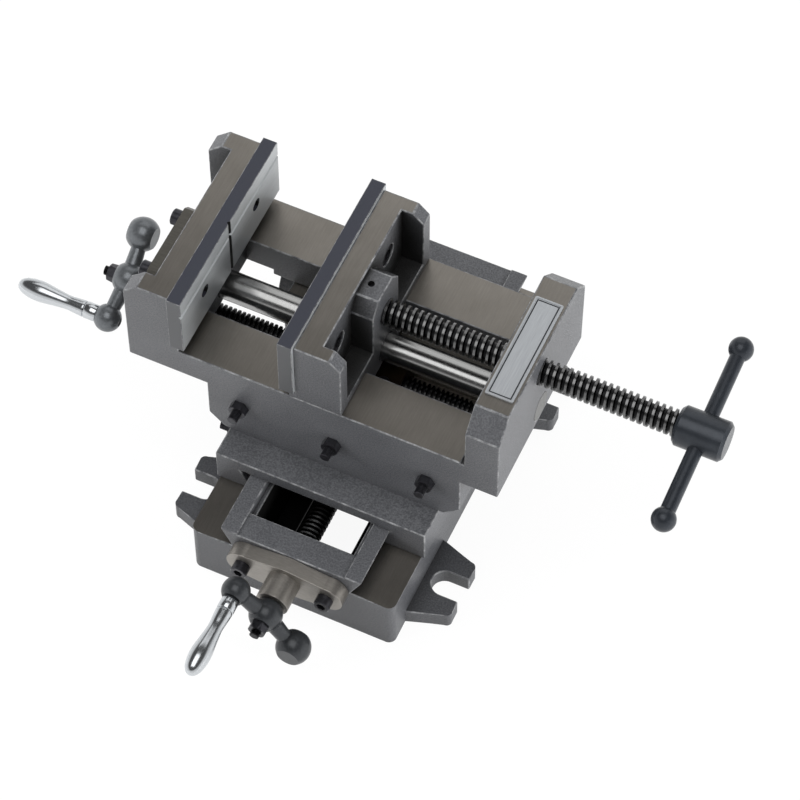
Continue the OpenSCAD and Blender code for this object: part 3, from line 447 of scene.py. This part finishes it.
# Ball cranks: malleable iron castings, turned on the balls, painted dark grey and nutted on the lead
# screws. The satin paint shows a soft highlight on each ball. The side crank gets a lighter, more
# metallic copy of the same paint, a painted light.
for node, name, dark, light, metallic in (
        ("front_crank", "satin_painted_iron", "#2a2c2e", "#3a3c3f", 0.45),
        # Painted light: the side crank's copy of the paint is lighter.
        ("side_crank", "satin_painted_iron_lit", "#56595c", "#707376", 0.65)):
    dress(node, mottled(name, 1.2 * mm, dark, light, metallic, 0.3, detail=2.0, bump=0.15))

# Revolving handles: steel turned to a collar, a ring, a slim waist and a drop-shaped grip, then
# polished and chromed, so that they mirror the room with a slight haze. Each one turns on a spindle
# riveted in the handle ball.
chrome, tree, shader = new_material("polished_chrome")
place = add_node(tree, "ShaderNodeTexCoord")
haze = add_node(tree, "ShaderNodeTexNoise", {
    "Vector": place.outputs["Object"], "Scale": 1 / (9 * mm)})
polish = add_node(tree, "ShaderNodeMapRange", {
    "Value": haze.outputs["Fac"], "To Min": 0.16, "To Max": 0.23})
tree.links.new(polish.outputs[0], shader.inputs["Roughness"])
shader.inputs["Base Color"].default_value = linear("#bfc2c5")
shader.inputs["Metallic"].default_value = 1.0


def eased(points, steps):
    """Points on a smooth curve through the given radius and place pairs."""
    rows = []
    last = len(points) - 1
    for i in range(last):
        a, b, c, d = (points[max(i - 1, 0)], points[i], points[i + 1], points[min(i + 2, last)])
        for k in range(steps):
            t = k / steps
            rows.append([0.5 * (2 * q + (r - p) * t + (2 * p - 5 * q + 4 * r - s) * t * t
                                + (3 * q - p - 3 * r + s) * t ** 3)
                         for p, q, r, s in zip(a, b, c, d)])
    return rows + [list(points[-1])]


def turned_handle(name, length, turn):
    """Spins the outline of a handle about Z: collar, ring, waist, belly and rounded tip. The outline
    is given by radius and place in mm."""
    collar = [(0.0, 0.0), (4.8, 0.0), (5.2, 0.4), (5.2, 7.6), (4.9, 8.0), (4.5, 8.1), (4.5, 8.5),
              (5.0, 8.7), (5.1, 9.2)]
    reach = length / mm
    grip = eased([(5.1, 9.2), (4.7, 0.28 * reach), (4.4, 0.38 * reach), (5.2, 0.53 * reach),
                  (6.3, 0.7 * reach), (6.1, 0.82 * reach), (4.9, 0.92 * reach),
                  (3.1, 0.975 * reach), (1.2, 0.997 * reach), (0.0, reach)], 5)
    outline = collar + grip[1:]
    bpy.ops.object.select_all(action="DESELECT")
    bpy.ops.mesh.primitive_circle_add(vertices=6, radius=length)
    handle = start_piece(name)
    handle.data.clear_geometry()
    handle.data.from_pydata([(max(r, 0.0) * mm, 0, z * mm) for r, z in outline],
                            [(i, i + 1) for i in range(len(outline) - 1)], [])
    bpy.ops.object.mode_set(mode="EDIT")
    bpy.ops.mesh.select_all(action="SELECT")
    bpy.ops.mesh.spin(steps=64, angle=math.radians(360), center=(0, 0, 0), axis=(0, 0, 1))
    bpy.ops.mesh.select_all(action="SELECT")
    bpy.ops.mesh.remove_doubles(threshold=1e-6)
    bpy.ops.mesh.normals_make_consistent(inside=False)
    bpy.ops.object.mode_set(mode="OBJECT")
    handle.data.transform(turn)
    bpy.ops.object.shade_smooth_by_angle(angle=math.radians(50))
    return handle


for node, body, axis in (("front_handle", "front_grip", 1), ("side_handle", "side_grip", 0)):
    low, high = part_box(node)
    middle = (low + high) / 2
    if axis == 1:
        foot, turn = (middle.x, high.y, middle.z), Matrix.Rotation(math.radians(90), 4, "X")
    else:
        foot, turn = (high.x, middle.y, middle.z), Matrix.Rotation(math.radians(-90), 4, "Y")
    handle = turned_handle(node + "_chromed", high[axis] - low[axis],
                           Matrix.Translation(foot) @ turn)
    handle.data.materials.append(chrome)
    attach(handle, body)
    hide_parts(node)

# Saddle: the middle casting between the two slides, held down by its dovetails. It is painted
# outside, and milled bare on the upper dovetail.
SADDLE_DOVETAIL = (65.8 * mm, 110 * mm, False)
saddle_iron = painted_iron("painted_cast_iron_saddle", [SADDLE_DOVETAIL])
broken_edges("saddle", "saddle", EDGE_ROUND, saddle_iron, edge_wear_and_shade)

# Gib strips: ground steel with fine lines along the strip, dull with oil, inside the slides. Screws
# with lock nuts press on them; the screws are black and threaded over their whole length.
oiled_steel = mottled("oiled_ground_steel", 0.5 * mm, "#6f6f70", "#949494", 1.0, 0.36,
                      stretch=(1, 0.05, 1))
dress("cross_gib", oiled_steel)
dress("slide_gib", oiled_steel)
GIB_SCREW_R, GIB_SCREW_DEPTH, GIB_SCREW_LEAD = 3 * mm, 0.55 * mm, 1 * mm
for node, body, axis, pitch in (("cross_gib_screws", "saddle", 0, 50 * mm),
                                ("slide_gib_screws", "vise_body", 1, 59 * mm)):
    low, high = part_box(node)
    middle = (low + high) / 2
    rods = []
    for i in (-1, 0, 1):
        turn = along_x(i * pitch, middle.z) if axis == 0 else along_y(i * pitch, middle.z)
        rods.append(threaded_rod(f"{node}_{i + 2}", GIB_SCREW_R, GIB_SCREW_DEPTH, GIB_SCREW_LEAD,
                                 low[axis], high[axis], turn))
    rod = join_pieces(rods)
    rod.data.materials.append(black_oxide)
    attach(rod, body)
    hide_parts(node)

# Lead screw nuts: blocks of bronze, brown and dull with old oil, screwed to the castings from
# inside.
oiled_bronze = mottled("oiled_bronze", 4 * mm, "#1c1813", "#33291e", 1.0, 0.5)
dress("front_nut", oiled_bronze)
dress("side_nut", oiled_bronze)

# Vise body: the big casting with the bed, the fixed jaw and the end block, riding on the saddle's
# dovetail. It is painted, and milled bare on the bed and on the tops of the jaw and the end block.
BED = (126.7 * mm, 127.5 * mm, True)
JAW_TOP = (177.5 * mm, 179 * mm, True)
END_BLOCK_TOP = (172 * mm, 173 * mm, True)
# Painted shade: the corners and slot walls of the body darken more strongly than elsewhere.
body_iron = painted_iron("painted_cast_iron_body", [BED, JAW_TOP, END_BLOCK_TOP], corner_shade=(0.45, 0.9))
broken_edges("vise_body", "vise_body", EDGE_ROUND, body_iron, edge_wear_and_shade)

# Moving jaw: a casting of the same iron that slides on the bed, with a boss for the screw. Its
# pockets are darkened with painted shade, and its top is milled bare.
jaw_iron = painted_iron("painted_cast_iron_jaw", [JAW_TOP], corner_shade=(0.62, 1.0))
broken_edges("moving_jaw", "moving_jaw", EDGE_ROUND, jaw_iron, edge_wear_and_shade)

# Guide rod: steel, ground and polished so that it mirrors in long streaks, pressed into the fixed
# jaw and the end block. Its sawn end is dull.
polished_steel, tree, shader = new_material("polished_steel")
place = add_node(tree, "ShaderNodeTexCoord").outputs
drawn = add_node(tree, "ShaderNodeMapping", {"Vector": place["Object"], "Scale": (1.0, 0.1, 0.1)})
rings = add_node(tree, "ShaderNodeTexNoise", {
    "Vector": drawn.outputs[0], "Scale": 1 / (1.5 * mm), "Detail": 3.0})
gloss = add_node(tree, "ShaderNodeMapRange", {
    "Value": rings.outputs["Fac"], "To Min": 0.16, "To Max": 0.28})
facing = add_node(tree, "ShaderNodeSeparateXYZ", {0: place["Normal"]}).outputs["X"]
sawn = add_node(tree, "ShaderNodeMath", {0: facing, 1: LOOKS_ALONG},
                operation="GREATER_THAN").outputs[0]
rough = add_node(tree, "ShaderNodeMix", {"Factor": sawn, 2: gloss.outputs[0], 3: 0.6})
tone = add_node(tree, "ShaderNodeMix", {
    "Factor": sawn, 6: linear("#9c9c9b"), 7: linear("#6a6a69")}, data_type="RGBA")
metal = add_node(tree, "ShaderNodeMapRange", {"Value": sawn, "To Min": 1.0, "To Max": 0.3})
tree.links.new(rough.outputs[0], shader.inputs["Roughness"])
tree.links.new(tone.outputs[2], shader.inputs["Base Color"])
tree.links.new(metal.outputs[0], shader.inputs["Metallic"])
dress("guide_rod", polished_steel)

# Jaw plates: hardened steel, screwed to the jaws, ground light on the gripping face, with the top
# left blue-black and the ends grey from hardening. The edges are broken bright by a stone; the
# upright V groove is painted black as shade.
PLATE_ROUND = 0.4 * mm
PLATE_CORNER = 50
jaw_steel, tree, shader = new_material("hardened_jaw_steel")
place = add_node(tree, "ShaderNodeTexCoord").outputs
facing = add_node(tree, "ShaderNodeSeparateXYZ", {0: place["Normal"]}).outputs
aside = add_node(tree, "ShaderNodeMath", {0: facing["Y"]}, operation="ABSOLUTE").outputs[0]
top = add_node(tree, "ShaderNodeMath", {0: facing["Z"], 1: LOOKS_ALONG},
               operation="GREATER_THAN").outputs[0]
ends = add_node(tree, "ShaderNodeMath", {0: aside, 1: LOOKS_ALONG},
                operation="GREATER_THAN").outputs[0]
# Painted shade: the flanks of the upright V groove are painted near black.
groove_shade = add_node(tree, "ShaderNodeMath", {0: aside, 1: 0.4}, operation="GREATER_THAN").outputs[0]
drawn = add_node(tree, "ShaderNodeMapping", {"Vector": place["Object"], "Scale": (1.0, 0.04, 1.0)})
lines = add_node(tree, "ShaderNodeTexNoise", {
    "Vector": drawn.outputs[0], "Scale": 1 / (0.6 * mm), "Detail": 3.0})
colour = add_node(tree, "ShaderNodeMix", {
    "Factor": lines.outputs["Fac"], 6: linear("#96999b"), 7: linear("#b3b6b8")}, data_type="RGBA")
for share, shade in ((groove_shade, "#141414"), (ends, "#4b4c4e"), (top, "#30323b")):
    colour = add_node(tree, "ShaderNodeMix", {
        "Factor": share, 6: colour.outputs[2], 7: linear(shade)}, data_type="RGBA")
metal = add_node(tree, "ShaderNodeMapRange", {"Value": top, "To Min": 0.5, "To Max": 0.3})
rough = add_node(tree, "ShaderNodeMapRange", {"Value": top, "To Min": 0.4, "To Max": 0.5})
tree.links.new(colour.outputs[2], shader.inputs["Base Color"])
tree.links.new(metal.outputs[0], shader.inputs["Metallic"])
tree.links.new(rough.outputs[0], shader.inputs["Roughness"])
for node, body in (("fixed_jaw_plate", "vise_body"), ("moving_jaw_plate", "moving_jaw")):
    broken_edges(node, body, PLATE_ROUND, jaw_steel, edge_wear_and_shade,
                 LONG_EDGE, PLATE_CORNER)

# Nameplate: a thin strip of satin aluminium fixed on the end block, brushed along its length, with a
# black line round it, and otherwise bare.
LINE_INSET = 2.0 * mm
LINE_HALF = 0.4 * mm
satin_aluminium, tree, shader = new_material("satin_aluminium")
place = add_node(tree, "ShaderNodeTexCoord").outputs
drawn = add_node(tree, "ShaderNodeMapping", {"Vector": place["Object"], "Scale": (1.0, 0.03, 1.0)})
lines = add_node(tree, "ShaderNodeTexNoise", {
    "Vector": drawn.outputs[0], "Scale": 1 / (0.4 * mm), "Detail": 2.0})
tone = add_node(tree, "ShaderNodeMix", {
    "Factor": lines.outputs["Fac"], 6: linear("#8f9296"), 7: linear("#b0b3b6")}, data_type="RGBA")
low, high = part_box("nameplate")
away = add_node(tree, "ShaderNodeVectorMath", {0: place["Object"], 1: (low + high) / 2},
                operation="SUBTRACT")
away = add_node(tree, "ShaderNodeVectorMath", {0: away.outputs[0]}, operation="ABSOLUTE")
inset = add_node(tree, "ShaderNodeVectorMath", {0: (high - low) / 2, 1: away.outputs[0]},
                 operation="SUBTRACT")
parts = add_node(tree, "ShaderNodeSeparateXYZ", {0: inset.outputs[0]}).outputs
margin = add_node(tree, "ShaderNodeMath", {0: parts["X"], 1: parts["Y"]}, operation="MINIMUM")
off_line = add_node(tree, "ShaderNodeMath", {0: margin.outputs[0], 1: LINE_INSET},
                    operation="SUBTRACT")
off_line = add_node(tree, "ShaderNodeMath", {0: off_line.outputs[0]}, operation="ABSOLUTE")
line = add_node(tree, "ShaderNodeMath", {0: off_line.outputs[0], 1: LINE_HALF},
                operation="LESS_THAN")
tone = add_node(tree, "ShaderNodeMix", {
    "Factor": line.outputs[0], 6: tone.outputs[2], 7: linear("#2e3033")}, data_type="RGBA")
tree.links.new(tone.outputs[2], shader.inputs["Base Color"])
shader.inputs["Metallic"].default_value = 0.6
shader.inputs["Roughness"].default_value = 0.42
dress("nameplate", satin_aluminium)

# Vise screw: a heavy black trapezoidal screw of 4 mm lead that turns in the end block and pushes the
# jaw. A pin in the jaw's boss holds its spigot.
VISE_R, VISE_DEPTH, VISE_LEAD = 8 * mm, 2.1 * mm, 4 * mm
SPIGOT_R = 5.45 * mm
low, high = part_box("vise_screw")
middle = (low + high) / 2
thread_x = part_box("moving_jaw")[1].x + THREAD_GAP
head_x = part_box("screw_head")[0].x
turn = along_x(middle.y, middle.z)
screw = join_pieces([
    threaded_rod("vise_screw_thread", VISE_R, VISE_DEPTH, VISE_LEAD, thread_x, head_x, turn),
    turned_bar("vise_screw_spigot", SPIGOT_R, low.x, thread_x, turn),
    turned_bar("vise_screw_tang", SPIGOT_R, head_x, high.x, turn)])
screw.data.materials.append(screw_steel("vise_screw_steel", 0, middle, VISE_R, "#686868"))
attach(screw, "vise_screw")
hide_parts("vise_screw")

# Screw head and tommy bar: turned steel, blued dark, with the head pressed on the screw and two
# balls pressed on the bar. They shine softly and look worn in patches.
blued_steel = mottled("blued_steel", 12 * mm, "#1b1e23", "#363a40", 0.5, 0.32,
                      detail=5.0, harsh=0.65)
for name in ("screw_head", "tommy_bar", "tommy_bar_balls"):
    dress(name, blued_steel)

# Floor and light: a white sweep and a white backdrop under a darker ceiling, with soft panels.
# Polished metal mirrors the white below and the dark above.
FLOOR_SEEN = 0.93
FLOOR_MIRRORED = 0.4
bpy.ops.object.select_all(action="DESELECT")
bpy.ops.mesh.primitive_plane_add(size=8, location=(0, 0, 0))
floor = start_piece("floor")
floor_white, tree, shader = new_material("white_sweep")
shader.inputs["Base Color"].default_value = (0.9, 0.9, 0.9, 1)
shader.inputs["Roughness"].default_value = 0.9
path = add_node(tree, "ShaderNodeLightPath").outputs
glow = add_node(tree, "ShaderNodeEmission", {"Color": (1, 1, 1, 1), "Strength": 1.0})
seen = add_node(tree, "ShaderNodeMath", {0: path["Is Camera Ray"], 1: FLOOR_SEEN},
                operation="MULTIPLY")
mirrored = add_node(tree, "ShaderNodeMath", {
    0: path["Is Glossy Ray"], 1: path["Is Transmission Ray"]}, operation="MAXIMUM")
mirrored = add_node(tree, "ShaderNodeMath", {0: mirrored.outputs[0], 1: FLOOR_MIRRORED},
                    operation="MULTIPLY")
share = add_node(tree, "ShaderNodeMath", {0: seen.outputs[0], 1: mirrored.outputs[0]},
                 operation="MAXIMUM")
blend = add_node(tree, "ShaderNodeMixShader", {
    0: share.outputs[0], 1: shader.outputs[0], 2: glow.outputs[0]})
tree.links.new(blend.outputs[0], tree.nodes["Material Output"].inputs["Surface"])
floor.data.materials.append(floor_white)

FILL_LIGHT = 0.33
world = bpy.data.worlds.new("studio")
bpy.context.scene.world = world
world.use_nodes = True
tree = world.node_tree
backdrop = tree.nodes["Background"]
backdrop.inputs["Color"].default_value = (1, 1, 1, 1)
path = add_node(tree, "ShaderNodeLightPath").outputs
seen = add_node(tree, "ShaderNodeMath", {0: path["Is Camera Ray"], 1: path["Is Glossy Ray"]},
                operation="MAXIMUM")
seen = add_node(tree, "ShaderNodeMath", {0: seen.outputs[0], 1: path["Is Transmission Ray"]},
                operation="MAXIMUM")
place = add_node(tree, "ShaderNodeTexCoord")
rise = add_node(tree, "ShaderNodeSeparateXYZ", {0: place.outputs["Generated"]}).outputs["Z"]
room = add_node(tree, "ShaderNodeMapRange", {
    "Value": rise, "From Min": 0.3, "From Max": 0.5, "To Min": 1.0, "To Max": 0.1})
level = add_node(tree, "ShaderNodeMix", {
    "Factor": seen.outputs[0], 2: FILL_LIGHT, 3: room.outputs[0]})
tree.links.new(level.outputs[0], backdrop.inputs["Strength"])


def panel(name, size, power, at, target, mirrored):
    """A soft square light that faces the target, and is or isn't mirrored in polished metal."""
    lamp = bpy.data.lights.new(name, "AREA")
    lamp.shape = "SQUARE"
    lamp.size = size
    lamp.energy = power
    holder = bpy.data.objects.new(name, lamp)
    bpy.context.scene.collection.objects.link(holder)
    holder.location = at
    holder.rotation_euler = (Vector(target) - Vector(at)).to_track_quat("-Z", "Y").to_euler()
    holder.visible_camera = False
    holder.visible_glossy = mirrored


VISE = (0, 0, 0.1)
panel("right_panel", 0.9, 38, (1.6, -0.15, 0.5), VISE, False)
panel("front_panel", 0.9, 17, (-1.25, -1.15, 0.8), VISE, False)
panel("left_panel", 0.7, 9, (-1.1, 0.0, 0.8), (-0.2, 0, 0.1), False)
panel("top_panel", 1.2, 10, (0.0, -0.35, 1.6), VISE, True)
panel("rear_panel", 1.0, 3.5, (-0.15, 0.83, 0.75), (-0.15, 0.83, 0), True)

# Camera: a long lens from the front right, high above the vise, as fitted to the photograph.
AZIMUTH, ELEVATION = 24.915, 57.578
FOCAL_PX, PICTURE_PX = 3687.93, 800
lens = bpy.data.cameras.new("camera")
lens.sensor_width = 36
lens.lens = FOCAL_PX / PICTURE_PX * lens.sensor_width
lens.clip_end = 20
camera = bpy.data.objects.new("camera", lens)
bpy.context.scene.collection.objects.link(camera)
camera.location = (0.50335, -1.05206, 1.89067)
camera.rotation_euler = (math.radians(90 - ELEVATION), 0, math.radians(AZIMUTH))
bpy.context.scene.camera = camera
bpy.context.scene.view_settings.view_transform = "Standard"
